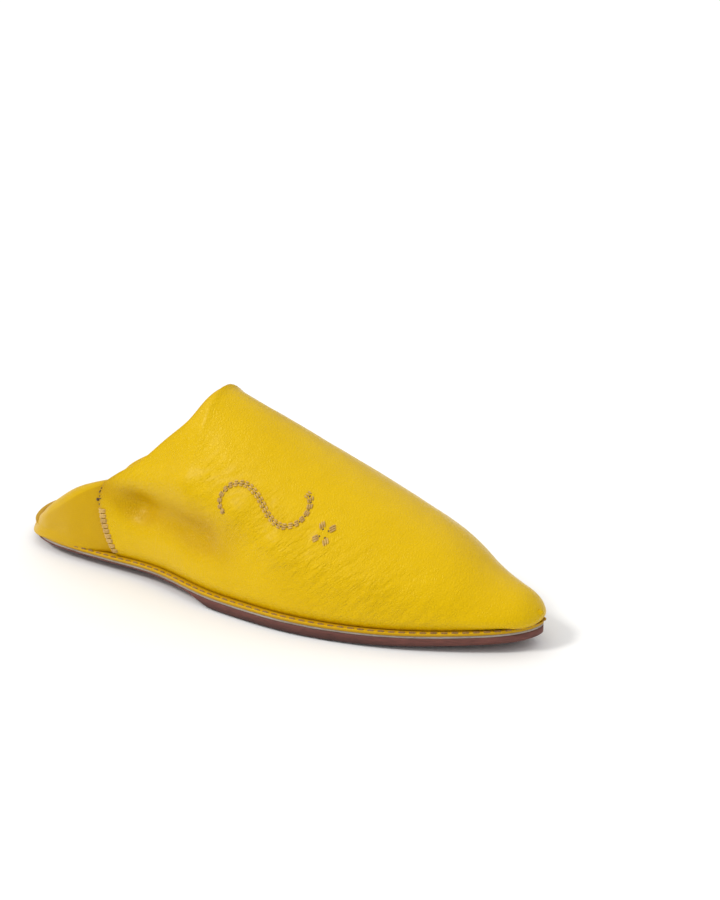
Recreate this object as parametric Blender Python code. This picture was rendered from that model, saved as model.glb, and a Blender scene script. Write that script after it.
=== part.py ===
"""Babouche slipper for a right foot: a pointed leather slipper with a high vamp and a back quarter folded down.

A flat leather outsole carries a thin pale midsole, and a narrow welt runs round its edge. The vamp, called upper
here, is one leather shell that stands on the welt and is open at the collar, at the back and underneath. The back
quarter goes round the heel, tucks under the vamp at both side seams, and is folded inwards over the insole.

+Y runs from heel to toe, +X to the wearer's right, which is the outer side, and +Z up. The origin lies on the
floor under the middle of the heel seat. Lengths are in metres.
"""

import math
from collections import namedtuple

import bmesh
import bpy
import numpy as np

# Lengths and widths of the sole
SOLE_LENGTH = 0.2705
HEEL_WIDTH = 0.063
WAIST_WIDTH = 0.066
BALL_WIDTH = 0.092
POINT_WIDTH = 0.056
HEEL_SEAT = 0.032  # from the back of the heel to the origin
TOE_SPRING = 0.0045
ARCH_RISE = 0.0010

# Layers, from the floor up
OUTSOLE_THICKNESS = 0.0044
FRONT_EDGE_BEVEL = 0.0010  # the lower edge is rounded off in front
BACK_EDGE_BEVEL = 0.0031  # and pared thin from the waist back
MIDSOLE_THICKNESS = 0.0010
WELT_THICKNESS = 0.0013
INSOLE_THICKNESS = 0.0025
GAP = 0.0003  # between pieces that meet

# Leather of the upper
INSTEP_HEIGHT = 0.0825  # ridge of the vamp over the welt, at the collar
UPPER_WALL = 0.0016
SKIVED_WALL = 0.0009  # the vamp's back edge is pared thin, over the skive's width
SKIVE = 0.010
QUARTER_WALL = 0.0016
FOOT_INSET = 0.0032  # from the sole's edge to the foot of the upper, at the ball
TUCK_HEIGHT = 0.006  # over which the side of the upper swells out from its foot
SEAM_LAP = 0.006  # the quarter runs on under the vamp
FOLD_RADIUS = 0.0030
SEAM_FOLD_RADIUS = 0.0024
BACK_LEAN = 0.3  # how far the quarter leans in at the back of the heel, for each unit of height

# Heights that follow from the layers
MIDSOLE_Z = OUTSOLE_THICKNESS + GAP
WELT_Z = MIDSOLE_Z + MIDSOLE_THICKNESS + GAP
UPPER_Z = WELT_Z + WELT_THICKNESS + GAP
INSOLE_TOP = WELT_Z + INSOLE_THICKNESS

# Outline of the sole. Columns: share of the length; the width that the row follows; share of that width to the
# outer side and to the inner side of the centre line.
Outline = namedtuple("Outline", "along width outer inner")
OUTLINE = (
    Outline(0.000, HEEL_WIDTH, 0.000, 0.000),
    Outline(0.016, HEEL_WIDTH, 0.245, 0.245),
    Outline(0.055, HEEL_WIDTH, 0.420, 0.415),
    Outline(0.120, HEEL_WIDTH, 0.510, 0.490),
    Outline(0.220, WAIST_WIDTH, 0.510, 0.465),
    Outline(0.330, WAIST_WIDTH, 0.545, 0.475),
    Outline(0.440, BALL_WIDTH, 0.465, 0.420),
    Outline(0.540, BALL_WIDTH, 0.500, 0.475),
    Outline(0.620, BALL_WIDTH, 0.505, 0.490),
    Outline(0.710, BALL_WIDTH, 0.470, 0.460),
    Outline(0.800, BALL_WIDTH, 0.400, 0.385),
    Outline(0.870, POINT_WIDTH, 0.520, 0.458),
    Outline(0.930, POINT_WIDTH, 0.375, 0.280),
    Outline(0.970, POINT_WIDTH, 0.250, 0.155),
    Outline(0.992, POINT_WIDTH, 0.130, 0.065),
    Outline(1.000, POINT_WIDTH, 0.000, 0.000),
)

# Where the upper stands on the welt. Columns: share of the sole's length; how far inside the sole's edge its widest
# line and its foot run, as shares of the inset of the foot at the ball.
Stand = namedtuple("Stand", "along side foot")
STAND = (
    Stand(0.00, -0.30, 0.55),
    Stand(0.05, -0.20, 0.62),
    Stand(0.18, 0.05, 0.75),
    Stand(0.50, 0.35, 1.00),
    Stand(0.80, 0.10, 0.78),
    Stand(0.95, -0.10, 0.58),
    Stand(1.00, -0.25, 0.50),
)

# Ridge of the vamp. Columns: share of the sole's length; share of the instep height.
Ridge = namedtuple("Ridge", "along height")
RIDGE = (
    Ridge(0.413, 1.000),
    Ridge(0.500, 0.875),
    Ridge(0.600, 0.733),
    Ridge(0.700, 0.602),
    Ridge(0.800, 0.463),
    Ridge(0.870, 0.343),
    Ridge(0.930, 0.203),
    Ridge(0.972, 0.112),
    Ridge(1.000, 0.000),
)

# Half of a cross-section of the last, from its foot to the ridge. Columns: way up; share of the ridge's height;
# share of the half width at the instep and at the toe.
Arch = namedtuple("Arch", "way height instep toe")
ARCH = (
    Arch(0.00, 0.000, 1.000, 1.000),
    Arch(0.12, 0.090, 1.000, 1.000),
    Arch(0.25, 0.210, 0.990, 0.985),
    Arch(0.38, 0.345, 0.950, 0.940),
    Arch(0.50, 0.480, 0.875, 0.870),
    Arch(0.62, 0.620, 0.755, 0.770),
    Arch(0.74, 0.765, 0.595, 0.630),
    Arch(0.86, 0.895, 0.390, 0.435),
    Arch(0.94, 0.972, 0.200, 0.235),
    Arch(1.00, 1.000, 0.000, 0.000),
)

# Back edge of the vamp, up the side seam and then along the collar. Columns: share of the instep height; share
# of the sole's length.
Edge = namedtuple("Edge", "height along")
SEAM = (
    Edge(0.000, 0.247),
    Edge(0.130, 0.229),
    Edge(0.250, 0.219),
    Edge(0.340, 0.216),
    Edge(0.422, 0.221),
)
COLLAR = (
    Edge(0.422, 0.221),
    Edge(0.503, 0.255),
    Edge(0.587, 0.296),
    Edge(0.697, 0.333),
    Edge(0.799, 0.367),
    Edge(0.867, 0.384),
    Edge(0.940, 0.396),
    Edge(0.985, 0.406),
    Edge(1.000, 0.413),
)

# Fold of the back quarter. Columns: share of the way from the side seam to the back of the heel; height of the
# fold over the welt, as a share of the seam's height; how far the roll has grown from its size at the seam to its
# full size; the loose edge's place, as shares of the heel's width and the sole's length, and its height, as a
# share of the seam's height.
Fold = namedtuple("Fold", "back crest roll edge_across edge_along edge_height")
FOLD = (
    Fold(0.00, 1.010, 0.00, 0.340, 0.222, 0.860),
    Fold(0.10, 0.865, 0.20, 0.328, 0.212, 0.640),
    Fold(0.20, 0.740, 0.45, 0.310, 0.202, 0.440),
    Fold(0.30, 0.595, 0.70, 0.285, 0.194, 0.280),
    Fold(0.45, 0.240, 0.90, 0.235, 0.186, 0.130),
    Fold(0.60, 0.115, 1.00, 0.180, 0.180, 0.084),
    Fold(0.80, 0.090, 1.00, 0.095, 0.176, 0.082),
    Fold(1.00, 0.090, 1.00, 0.000, 0.175, 0.082),
)

# How finely the curved pieces are cut
SOLE_STATIONS = 44
UPPER_STATIONS = 34
SEAM_ROWS = 6
COLLAR_ROWS = 8
QUARTER_STATIONS = 15
QUARTER_WALL_ROWS = 7
QUARTER_ROLL_ROWS = 4
QUARTER_FLAP_ROWS = 6
FINE = 500  # steps of the curves that the sections are read from


def spline(knots, values, at):
    """Natural cubic curve through the knots, read at the given places."""
    knots, values = np.asarray(knots, float), np.asarray(values, float)
    step, rise = np.diff(knots), np.diff(values)
    count = len(knots)
    system, right = np.eye(count), np.zeros(count)
    for i in range(1, count - 1):
        system[i, i - 1 : i + 2] = step[i - 1], 2 * (step[i - 1] + step[i]), step[i]
        right[i] = 6 * (rise[i] / step[i] - rise[i - 1] / step[i - 1])
    bend = np.linalg.solve(system, right)
    at = np.clip(at, knots[0], knots[-1])
    i = np.clip(np.searchsorted(knots, at) - 1, 0, count - 2)
    before, after, width = at - knots[i], knots[i + 1] - at, step[i]
    cubic = (bend[i] * after**3 + bend[i + 1] * before**3) / (6 * width)
    line = (values[i] / width - bend[i] * width / 6) * after
    return cubic + line + (values[i + 1] / width - bend[i + 1] * width / 6) * before


def column(table, name):
    return np.array([getattr(row, name) for row in table], float)


def ease(x):
    """0 to 1 with a soft start and end."""
    x = np.clip(x, 0, 1)
    return x * x * (3 - 2 * x)


def turn_of(share):
    """A place along the length as an angle, which makes round ends of smooth curves."""
    return np.arccos(1 - 2 * np.clip(share, 0, 1))


def share_at(y):
    return (y + HEEL_SEAT) / SOLE_LENGTH


def y_at(share):
    return share * SOLE_LENGTH - HEEL_SEAT


def lift(y):
    """How far the whole slipper rises from the floor: the toe spring and a slight arch at the waist."""
    share = share_at(y)
    ball, waist, waist_reach = 0.66, 0.36, 0.13
    toe = TOE_SPRING * np.clip((share - ball) / (1 - ball), 0, None) ** 2
    arch = ARCH_RISE * ease(1 - np.abs(share - waist) / waist_reach)
    return toe + arch


def side_line(side, inset, turns):
    """Plan of the sole's edge on one side (1 outer, -1 inner), moved inwards by inset, heel to toe."""
    widths = column(OUTLINE, "width") * column(OUTLINE, "outer" if side > 0 else "inner")
    turned = turn_of(column(OUTLINE, "along"))
    x = side * spline(turned, widths, turns)
    y = y_at((1 - np.cos(turns)) / 2)
    nudge = 1e-4
    dx = side * (spline(turned, widths, turns + nudge) - spline(turned, widths, turns - nudge))
    dy = SOLE_LENGTH * np.sin(turns) * nudge
    length = np.maximum(np.hypot(dx, dy), 1e-12)
    inward = np.stack([-side * dy / length, side * dx / length], -1)
    inward[turns <= 0] = (0, 1)
    inward[turns >= math.pi] = (0, -1)
    return np.stack([x, y], -1) + inward * np.reshape(inset, (-1, 1)), inward


def stand(name, turns):
    """How far inside the sole's edge the upper's widest line, or its foot, runs."""
    return FOOT_INSET * spline(turn_of(column(STAND, "along")), column(STAND, name), turns)


def widest_line(side):
    """Plan of the upper's widest line on one side, the inward direction, and how far its foot is drawn in."""
    turns = np.linspace(0, math.pi, FINE)
    line, inward = side_line(side, stand("side", turns), turns)
    return line, inward, stand("foot", turns) - stand("side", turns)


def ridge_height(y, tip):
    """Height of the last over the welt. Behind the collar it goes on level, where nothing is cut from it."""
    start = y_at(RIDGE[0].along)
    reach = np.clip((y - start) / (tip - start), 0, 1)
    knots = (column(RIDGE, "along") - RIDGE[0].along) / (1 - RIDGE[0].along)
    return INSTEP_HEIGHT * spline(turn_of(knots / 2), column(RIDGE, "height"), turn_of(reach / 2))


def arch(way, toe_share):
    """Shares of height and half width of a cross-section, at a way up of 0 to 1 on either side of the ridge."""
    ways = np.concatenate([column(ARCH, "way"), 2 - column(ARCH, "way")[-2::-1]])
    halves = [column(ARCH, name) for name in ("height", "instep", "toe")]
    height = spline(ways, np.concatenate([halves[0], halves[0][-2::-1]]), way)
    instep, toe = (spline(ways, np.concatenate([h, -h[-2::-1]]), way) for h in halves[1:])
    return np.clip(height, 0, None), instep + (toe - instep) * toe_share


def way_up(height):
    """The way up a cross-section at which it has this share of its height."""
    ways = np.linspace(0, 1, FINE)
    return np.interp(height, arch(ways, 0.0)[0], ways)


def swell(over_welt, height=TUCK_HEIGHT):
    """1 at the upper's foot and 0 where its side has swelled to its full width."""
    return np.clip(1 - over_welt / height, 0, 1) ** 2


def inside(turns):
    """How far inside the sole's edge the insole starts, clear of the vamp and, behind, of the quarter too."""
    share = (1 - np.cos(turns)) / 2
    quarter_end = SEAM[0].along + SEAM_LAP / SOLE_LENGTH
    behind = 1 - ease((share - quarter_end - 0.02) / 0.08)
    return stand("foot", turns) + UPPER_WALL + 2 * GAP + (QUARTER_WALL + 2 * GAP) * behind


def new_object(name, mesh, material, collection):
    mesh.materials.append(material)
    mesh.shade_smooth()
    obj = bpy.data.objects.new(name, mesh)
    collection.objects.link(obj)
    return obj


def grid_mesh(name, rows):
    """Open sheet over rows of points, all rows as long. Points that coincide become one."""
    count, width = len(rows), len(rows[0])
    bm = bmesh.new()
    verts = [[bm.verts.new(point) for point in row] for row in rows]
    for i in range(count - 1):
        for j in range(width - 1):
            bm.faces.new((verts[i][j], verts[i][j + 1], verts[i + 1][j + 1], verts[i + 1][j]))
    bmesh.ops.remove_doubles(bm, verts=bm.verts, dist=1e-6)
    mesh = bpy.data.meshes.new(name)
    bm.to_mesh(mesh)
    bm.free()
    return mesh


def wall_mesh(name, grain, flesh):
    """Closed wall between two sheets of points with the same rows. Points that coincide become one."""
    count, width = len(grain), len(grain[0])
    bm = bmesh.new()
    sheets = [[[bm.verts.new(point) for point in row] for row in sheet] for sheet in (grain, flesh)]
    for sheet, flip in ((sheets[0], False), (sheets[1], True)):
        for i in range(count - 1):
            for j in range(width - 1):
                face = (sheet[i][j], sheet[i + 1][j], sheet[i + 1][j + 1], sheet[i][j + 1])
                bm.faces.new(face[::-1] if flip else face)
    around = [(i, 0) for i in range(count - 1)]
    around += [(count - 1, j) for j in range(width - 1)]
    around += [(i, width - 1) for i in range(count - 1, 0, -1)]
    around += [(0, j) for j in range(width - 1, 0, -1)]
    for (i, j), (k, m) in zip(around, around[1:] + around[:1]):
        bm.faces.new((sheets[0][k][m], sheets[0][i][j], sheets[1][i][j], sheets[1][k][m]))
    bmesh.ops.remove_doubles(bm, verts=bm.verts, dist=1e-6)
    mesh = bpy.data.meshes.new(name)
    bm.to_mesh(mesh)
    bm.free()
    mesh.set_sharp_from_angle(angle=math.radians(50))
    return mesh


def unit_steps(grid, axis):
    """Direction of the sheet at each point along one way of the grid: the mean of the steps before and after it."""
    steps = np.diff(grid, axis=axis)
    steps /= np.maximum(np.linalg.norm(steps, axis=-1, keepdims=True), 1e-9)
    first, last = steps.take([0], axis), steps.take([-1], axis)
    return np.concatenate([first, steps], axis) + np.concatenate([steps, last], axis)


def leather_shell(name, grain, wall, tip=None):
    """Leather of the given thickness inside a sheet of points. Its foot is level, and nothing of it dips below the
    foot. Where the last row of the sheet is one point, as at the toe, tip is the direction outwards there."""
    normal = np.cross(unit_steps(grain, 0), unit_steps(grain, 1))
    over_welt = grain[:, :, 2] - lift(grain[:, :, 1]) - UPPER_Z
    normal[over_welt < 1e-6, 2] = 0
    if tip is not None:
        normal[-1] = tip
    normal /= np.linalg.norm(normal, axis=-1, keepdims=True)
    flesh = grain - normal * np.asarray(wall)[..., None]
    lowest = UPPER_Z + lift(flesh[:, :, 1]) + 0.3 * over_welt
    flesh[:, :, 2] = np.maximum(flesh[:, :, 2], lowest)
    return wall_mesh(name, grain, flesh)


def layer(name, rings, material, collection):
    """A layer of the sole. Rings are (inset, height) pairs up its edge, and strips across close the faces."""
    turns = np.linspace(0, math.pi, SOLE_STATIONS + 1)
    bm = bmesh.new()
    loops = []
    for inset, height in rings:
        sides = []
        for side in (1, -1):
            line, _ = side_line(side, np.broadcast_to(inset, turns.shape), turns)
            z = np.broadcast_to(height, turns.shape) + lift(line[:, 1])
            sides.append([bm.verts.new((x, y, up)) for (x, y), up in zip(line, z)])
        loops.append(sides)
    for low, high in zip(loops, loops[1:]):
        for side, flip in ((0, False), (1, True)):
            for i in range(SOLE_STATIONS):
                face = (low[side][i], low[side][i + 1], high[side][i + 1], high[side][i])
                bm.faces.new(face[::-1] if flip else face)
    for (outer, inner), flip in ((loops[0], True), (loops[-1], False)):
        for i in range(SOLE_STATIONS):
            face = (outer[i], outer[i + 1], inner[i + 1], inner[i])
            bm.faces.new(face[::-1] if flip else face)
    bmesh.ops.remove_doubles(bm, verts=bm.verts, dist=1e-6)
    mesh = bpy.data.meshes.new(name)
    bm.to_mesh(mesh)
    bm.free()
    obj = new_object(name, mesh, material, collection)
    mesh.set_sharp_from_angle(angle=math.radians(40))
    return obj


def make_outsole(material, collection):
    """Brown sole leather. Its lower edge is rounded in front and pared thin from the waist back."""
    shares = (1 - np.cos(np.linspace(0, math.pi, SOLE_STATIONS + 1))) / 2
    waist_end, ball_start = 0.41, 0.475
    front = ease((shares - waist_end) / (ball_start - waist_end))
    bevel = BACK_EDGE_BEVEL + (FRONT_EDGE_BEVEL - BACK_EDGE_BEVEL) * front
    reach = 1.2 + 1.6 * (1 - front)
    rings = (
        (bevel * reach, 0.0),
        (bevel * reach * 0.35, bevel * 0.4),
        (0.0, bevel),
        (0.0, OUTSOLE_THICKNESS),
    )
    return layer("outsole", rings, material, collection)


def make_midsole(material, collection):
    """Thin pale board that shows as a line between outsole and welt."""
    rings = ((0.0003, MIDSOLE_Z), (0.0003, MIDSOLE_Z + MIDSOLE_THICKNESS))
    return layer("midsole", rings, material, collection)


def make_insole(material, collection):
    """Leather insole inside the welt, with its upper edge rounded."""
    round_off = 0.0006
    inset = inside(np.linspace(0, math.pi, SOLE_STATIONS + 1)) + 0.7 * GAP  # its corner at the toe is sharper
    rings = (
        (inset, WELT_Z),
        (inset, INSOLE_TOP - round_off),
        (inset + round_off, INSOLE_TOP),
    )
    return layer("insole", rings, material, collection)


def make_welt(material, collection):
    """Leather strip sewn round the edge: a closed ring with its outer upper edge rounded."""
    turns = np.linspace(0, math.pi, SOLE_STATIONS + 1)
    top, round_off = WELT_Z + WELT_THICKNESS, 0.0005
    width = inside(turns) - GAP
    corners = (
        (width, WELT_Z),
        (0.0002, WELT_Z),
        (0.0, top - round_off),
        (round_off, top),
        (width, top),
    )
    rows = []
    for inset, height in corners + corners[:1]:
        outer, _ = side_line(1, np.broadcast_to(inset, turns.shape), turns)
        inner, _ = side_line(-1, np.broadcast_to(inset, turns.shape), turns)
        loop = np.concatenate([outer, inner[::-1]])
        z = height + lift(loop[:, 1])
        rows.append([(x, y, up) for (x, y), up in zip(loop, z)])
    return new_object("welt", grid_mesh("welt", rows), material, collection)


def make_upper(material, collection):
    """The vamp. Lines run forward from its back edge, the seams and the collar, and meet at the toe."""
    tip = widest_line(1)[0][-1, 1]
    seam_height = SEAM[-1].height
    over_seam = seam_height + (1 - seam_height) * np.sin(np.linspace(0, math.pi / 2, COLLAR_ROWS + 1))[1:]
    heights = np.concatenate([[0.0, 0.022], np.linspace(0.055, seam_height, SEAM_ROWS), over_seam])
    start, start_way = y_at(edge_along(heights)), way_up(heights)
    end_way = np.linspace(0, 1, len(heights))
    grid, walls = [], []
    for u in np.sin(np.linspace(0, math.pi / 2, UPPER_STATIONS + 1)):
        y = start + (tip - start) * u
        way = start_way + (end_way - start_way) * u
        outer, inner = (last_points(side, y, way, tip) for side in (1, -1))
        grid.append(np.concatenate([outer, inner[-2::-1]]))
        wall = SKIVED_WALL + (UPPER_WALL - SKIVED_WALL) * ease((y - start) / SKIVE)
        walls.append(np.concatenate([wall, wall[-2::-1]]))
    grid, walls = np.array(grid), np.array(walls)
    return new_object("upper", leather_shell("upper", grid, walls, tip=(0, 1, 0)), material, collection)


def edge_along(heights):
    """Share of the length at which the vamp's back edge has each height: the seam below, the collar above."""
    seam = spline(column(SEAM, "height"), column(SEAM, "along"), heights)
    steps, fine = np.linspace(0, 1, len(COLLAR)), np.linspace(0, 1, FINE)
    up = spline(steps, column(COLLAR, "height"), fine)
    along = spline(steps, column(COLLAR, "along"), fine)
    return np.where(heights <= SEAM[-1].height, seam, np.interp(heights, up, along))


def last_points(side, y, way, tip):
    """Points of the last's surface on one side, at places along it and ways up its cross-sections."""
    line, inward, drawn = widest_line(side)
    other, _, _ = widest_line(-side)
    edge, far_edge = np.interp(y, line[:, 1], line[:, 0]), np.interp(y, other[:, 1], other[:, 0])
    middle, half = (edge + far_edge) / 2, np.abs(edge - far_edge) / 2
    ridge = ridge_height(y, tip)
    toe_share = ease((share_at(y) - RIDGE[0].along) / (1 - RIDGE[0].along))
    height, width = arch(way, toe_share)
    over_welt = height * ridge
    draw = np.interp(y, line[:, 1], drawn) * swell(over_welt)
    x = middle + side * half * width + np.interp(y, line[:, 1], inward[:, 0]) * draw
    along = y + np.interp(y, line[:, 1], inward[:, 1]) * draw
    return np.stack([x, along, UPPER_Z + lift(along) + over_welt], -1)


def quarter_profile(side, back, lap):
    """The back quarter's grain side at one station: up the wall, over the fold and down the flap. Back is 0 at the
    side seam, 1 at the back of the heel and -lap at the end that lies under the vamp."""
    seam_height = SEAM[-1].height * INSTEP_HEIGHT
    shown = np.clip(back, 0, 1)
    steps = column(FOLD, "back")
    crest = seam_height * spline(steps, column(FOLD, "crest"), shown)
    grown = np.clip(spline(steps, column(FOLD, "roll"), shown), 0, 1)
    radius = SEAM_FOLD_RADIUS + (FOLD_RADIUS - SEAM_FOLD_RADIUS) * grown
    radius = min(radius, 0.6 * crest)
    seam_line, _, _ = widest_line(1)
    vamp_wall = SKIVED_WALL + (UPPER_WALL - SKIVED_WALL) * ease(-back / lap * SEAM_LAP / SKIVE)
    under = (vamp_wall + 2 * GAP) * (1 - ease(back / 0.25))
    wall_top = crest - radius
    heights = wall_top * np.linspace(0, 1, QUARTER_WALL_ROWS + 1) ** 1.4
    half = abs(np.interp(y_at(SEAM[-1].along), seam_line[:, 1], seam_line[:, 0]))

    def on_wall(height, inward_by):
        front = edge_along(np.array([height / INSTEP_HEIGHT]))[0]
        turn = np.array([turn_of(front) * (1 - back)])
        side_inset, foot_inset = stand("side", turn), stand("foot", turn)
        line, inward = side_line(side, side_inset + under, turn)
        way = way_up(height / INSTEP_HEIGHT)
        lean = half * (1 - arch(way, 0.0)[1]) + BACK_LEAN * height * ease(back)
        draw = (foot_inset - side_inset)[0] * swell(height, min(TUCK_HEIGHT, wall_top))
        x, y = line[0] + inward[0] * (lean + draw + inward_by)
        return np.array([x, y, UPPER_Z + lift(y) + height])

    points = [on_wall(height, 0.0) for height in heights]
    for angle in np.linspace(0, math.pi / 2, QUARTER_ROLL_ROWS + 1)[1:]:
        point = on_wall(wall_top, radius * (1 - math.cos(angle)))
        point[2] += radius * math.sin(angle)
        points.append(point)
    top = points[-1]
    control = on_wall(wall_top, radius * (2.1 + 0.6 * shown))
    control[2] = top[2]
    edge = np.array(
        [
            side * HEEL_WIDTH * spline(steps, column(FOLD, "edge_across"), shown),
            y_at(spline(steps, column(FOLD, "edge_along"), shown)) + SEAM_LAP * max(0, -back / lap),
            UPPER_Z + seam_height * spline(steps, column(FOLD, "edge_height"), shown),
        ]
    )
    for t in np.linspace(0, 1, QUARTER_FLAP_ROWS + 1)[1:]:
        points.append((1 - t) ** 2 * top + 2 * t * (1 - t) * control + t * t * edge)
    return points


def make_back_quarter(material, collection):
    """Round the heel from one side seam to the other, with a lap under the vamp at each end."""
    seam_turn = turn_of(SEAM[0].along)
    lap = turn_of(SEAM[0].along + SEAM_LAP / SOLE_LENGTH) / seam_turn - 1
    backs = np.concatenate([[-lap, -lap / 2], np.linspace(0, 1, QUARTER_STATIONS)])
    outer = [quarter_profile(1, back, lap) for back in backs]
    inner = [quarter_profile(-1, back, lap) for back in backs]
    grid = np.array(inner + outer[-2::-1])
    mesh = leather_shell("back_quarter", grid, np.full(grid.shape[:2], QUARTER_WALL))
    return new_object("back_quarter", mesh, material, collection)


def leather(name, colour, roughness):
    material = bpy.data.materials.new(name)
    material.use_nodes = True
    shader = material.node_tree.nodes["Principled BSDF"]
    shader.inputs["Base Color"].default_value = (*colour, 1.0)
    shader.inputs["Roughness"].default_value = roughness
    shader.inputs["Metallic"].default_value = 0.0
    material.diffuse_color = (*colour, 1.0)
    return material


def build():
    for obj in list(bpy.data.objects):
        bpy.data.objects.remove(obj)
    slipper = bpy.data.collections.new("babouche_slipper")
    bpy.context.scene.collection.children.link(slipper)
    yellow = leather("yellow_leather", (0.76, 0.50, 0.01), 0.42)
    brown = leather("sole_leather", (0.16, 0.055, 0.04), 0.65)
    pale = leather("pale_board", (0.45, 0.40, 0.33), 0.8)
    make_outsole(brown, slipper)
    make_midsole(pale, slipper)
    make_welt(yellow, slipper)
    make_insole(yellow, slipper)
    make_upper(yellow, slipper)
    make_back_quarter(yellow, slipper)


build()
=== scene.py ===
"""Leather babouche slipper for a right foot, dressed for a studio picture on a pale floor.

+Y runs from heel to toe, +X to the outer side and +Z up, in metres. The sections follow the slipper as it is
put together: sole, board, welt, insole, vamp, back quarter, then the hand stitches, and at last the studio.
"""

import math
from collections import namedtuple

import bmesh
import bpy
import numpy as np
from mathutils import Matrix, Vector, noise
from mathutils.bvhtree import BVHTree


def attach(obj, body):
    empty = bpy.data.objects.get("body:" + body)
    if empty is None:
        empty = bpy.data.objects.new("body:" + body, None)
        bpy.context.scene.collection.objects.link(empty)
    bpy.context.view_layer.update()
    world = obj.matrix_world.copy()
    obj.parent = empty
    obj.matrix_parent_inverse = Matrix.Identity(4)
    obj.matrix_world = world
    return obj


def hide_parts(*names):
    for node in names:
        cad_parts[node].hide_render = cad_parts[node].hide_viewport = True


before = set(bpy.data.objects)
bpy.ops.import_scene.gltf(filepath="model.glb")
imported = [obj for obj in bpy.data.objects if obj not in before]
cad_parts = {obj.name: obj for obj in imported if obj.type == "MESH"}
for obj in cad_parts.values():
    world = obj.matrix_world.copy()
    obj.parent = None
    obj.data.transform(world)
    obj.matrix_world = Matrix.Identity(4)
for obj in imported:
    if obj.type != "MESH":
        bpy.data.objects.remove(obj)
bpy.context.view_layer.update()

# Outsole. One piece of brown sole leather, cut to the outline of the last and glued under the board. Its
# lower edge is rounded with a rasp in front and pared thin from the waist back, and the cut edge is rubbed
# smooth. The welt's stitches end in a channel cut round its underside.
SOLE_LENGTH = 0.2705
HEEL_WIDTH, WAIST_WIDTH, BALL_WIDTH, POINT_WIDTH = 0.063, 0.066, 0.092, 0.056
HEEL_SEAT = 0.032
TOE_SPRING, ARCH_RISE = 0.0045, 0.0010
SPRING_FROM, ARCH_AT, ARCH_REACH = 0.66, 0.36, 0.13
OUTSOLE_THICKNESS = 0.0044
PARED_TO, ROUNDED_FROM = 0.41, 0.475
FRONT_EDGE_BEVEL, BACK_EDGE_BEVEL, TOE_BEVEL = 0.0010, 0.0042, 0.0006
FRONT_EDGE_SLOPE, BACK_EDGE_SLOPE, TOE_UNDERCUT = 1.2, 3.5, 0.0020
CHANNEL_INSET, CHANNEL_WIDTH, CHANNEL_DEPTH, CHANNEL_SLANT = 0.0018, 0.0014, 0.0007, 0.0002
GAP = 0.0003
SHARP_FROM = math.radians(55)
SOLE_STATIONS = 260
FINE = 500


def table(columns, *rows):
    """Rows with named columns."""
    Row = namedtuple("Row", columns)
    return [Row(*row) for row in rows]


OUTLINE = table(
    "along width outer inner",
    (0.000, HEEL_WIDTH, 0.000, 0.000),
    (0.016, HEEL_WIDTH, 0.245, 0.245),
    (0.055, HEEL_WIDTH, 0.420, 0.415),
    (0.120, HEEL_WIDTH, 0.510, 0.490),
    (0.220, WAIST_WIDTH, 0.510, 0.465),
    (0.330, WAIST_WIDTH, 0.545, 0.475),
    (0.440, BALL_WIDTH, 0.465, 0.420),
    (0.540, BALL_WIDTH, 0.500, 0.475),
    (0.620, BALL_WIDTH, 0.505, 0.490),
    (0.710, BALL_WIDTH, 0.470, 0.460),
    (0.800, BALL_WIDTH, 0.400, 0.385),
    (0.870, POINT_WIDTH, 0.520, 0.458),
    (0.930, POINT_WIDTH, 0.375, 0.280),
    (0.970, POINT_WIDTH, 0.250, 0.155),
    (0.992, POINT_WIDTH, 0.130, 0.065),
    (1.000, POINT_WIDTH, 0.000, 0.000),
)


def spline(knots, values, at):
    """Natural cubic curve through the knots, read at the given places."""
    knots, values = np.asarray(knots, float), np.asarray(values, float)
    step, rise = np.diff(knots), np.diff(values)
    count = len(knots)
    system, right = np.eye(count), np.zeros(count)
    for i in range(1, count - 1):
        system[i, i - 1 : i + 2] = step[i - 1], 2 * (step[i - 1] + step[i]), step[i]
        right[i] = 6 * (rise[i] / step[i] - rise[i - 1] / step[i - 1])
    bend = np.linalg.solve(system, right)
    at = np.clip(at, knots[0], knots[-1])
    i = np.clip(np.searchsorted(knots, at) - 1, 0, count - 2)
    before, after, width = at - knots[i], knots[i + 1] - at, step[i]
    cubic = (bend[i] * after**3 + bend[i + 1] * before**3) / (6 * width)
    line = (values[i] / width - bend[i] * width / 6) * after
    return cubic + line + (values[i + 1] / width - bend[i + 1] * width / 6) * before


def column(rows, name):
    return np.array([getattr(row, name) for row in rows], float)


def ease(x):
    """0 to 1 with a soft start and end."""
    x = np.clip(x, 0, 1)
    return x * x * (3 - 2 * x)


def bell(x, middle, width):
    """1 in the middle, fading softly to 0 on either side."""
    return np.exp(-(((x - middle) / width) ** 2))


def hand_wobble(places, cells, y, z):
    """Noise along a line, for an edge that was cut by hand."""
    return np.array([noise.noise((cells * place, y, z)) for place in places])


def turn_of(share):
    """A place along the length as an angle, which makes round ends of smooth curves."""
    return np.arccos(1 - 2 * np.clip(share, 0, 1))


def share_at(y):
    return (y + HEEL_SEAT) / SOLE_LENGTH


def y_at(share):
    return share * SOLE_LENGTH - HEEL_SEAT


def lift(y):
    """How far the slipper rises from the floor: the toe spring and a slight arch at the waist."""
    share = share_at(y)
    toe = TOE_SPRING * np.clip((share - SPRING_FROM) / (1 - SPRING_FROM), 0, None) ** 2
    return toe + ARCH_RISE * ease(1 - np.abs(share - ARCH_AT) / ARCH_REACH)


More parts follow.
